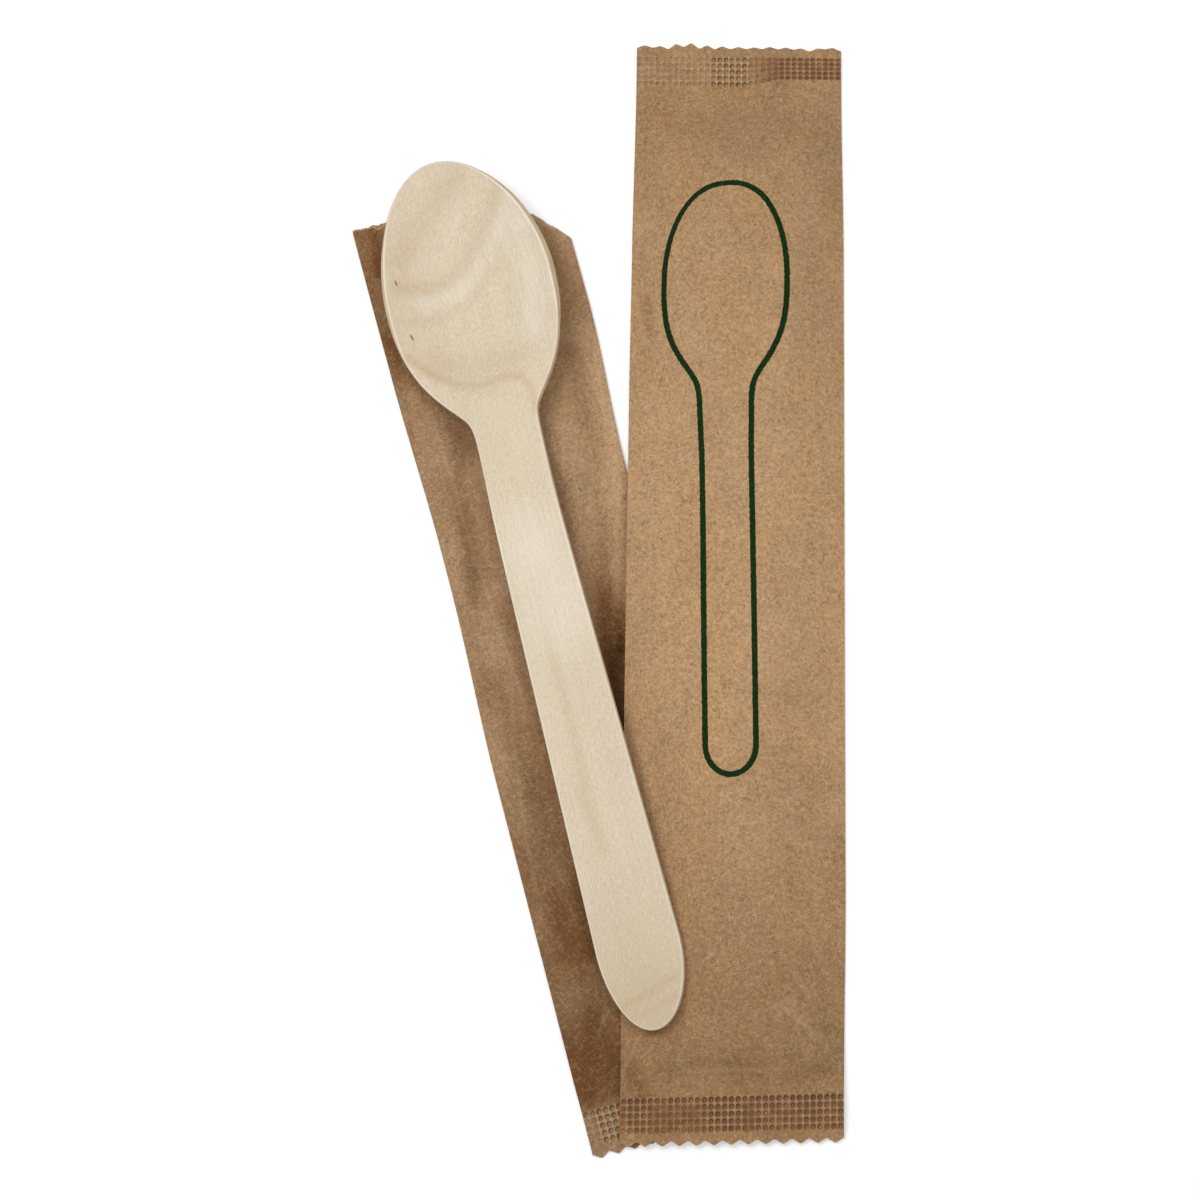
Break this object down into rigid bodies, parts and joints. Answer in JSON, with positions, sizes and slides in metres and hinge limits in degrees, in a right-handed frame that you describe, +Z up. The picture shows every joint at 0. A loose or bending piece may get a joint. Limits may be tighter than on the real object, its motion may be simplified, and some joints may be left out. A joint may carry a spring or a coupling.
{
  "type": "wooden cutlery pack",
  "caption": "Flat wooden spoon lying across its torn-open kraft paper sleeve and a second sleeve still sealed, with crimped zigzag ends.",
  "frame": {"origin": "middle of the pack's footprint, on the surface it lies on", "axes": "+Y along the sealed sachet, towards the bowl end of the spoon; +Z up out of the surface"},
  "size_m": [0.0904, 0.2004, 0.0091],
  "materials": {
    "wood": "unfinished birch veneer, matt",
    "opened_paper": "uncoated brown kraft paper, creased",
    "sealed_paper": "uncoated brown kraft paper with a dark green printed outline"
  },
  "bodies": {
    "root": {"wooden_spoon": "wood", "opened_wrapper": "opened_paper", "sealed_sachet": "sealed_paper"}
  },
  "joints": []
}
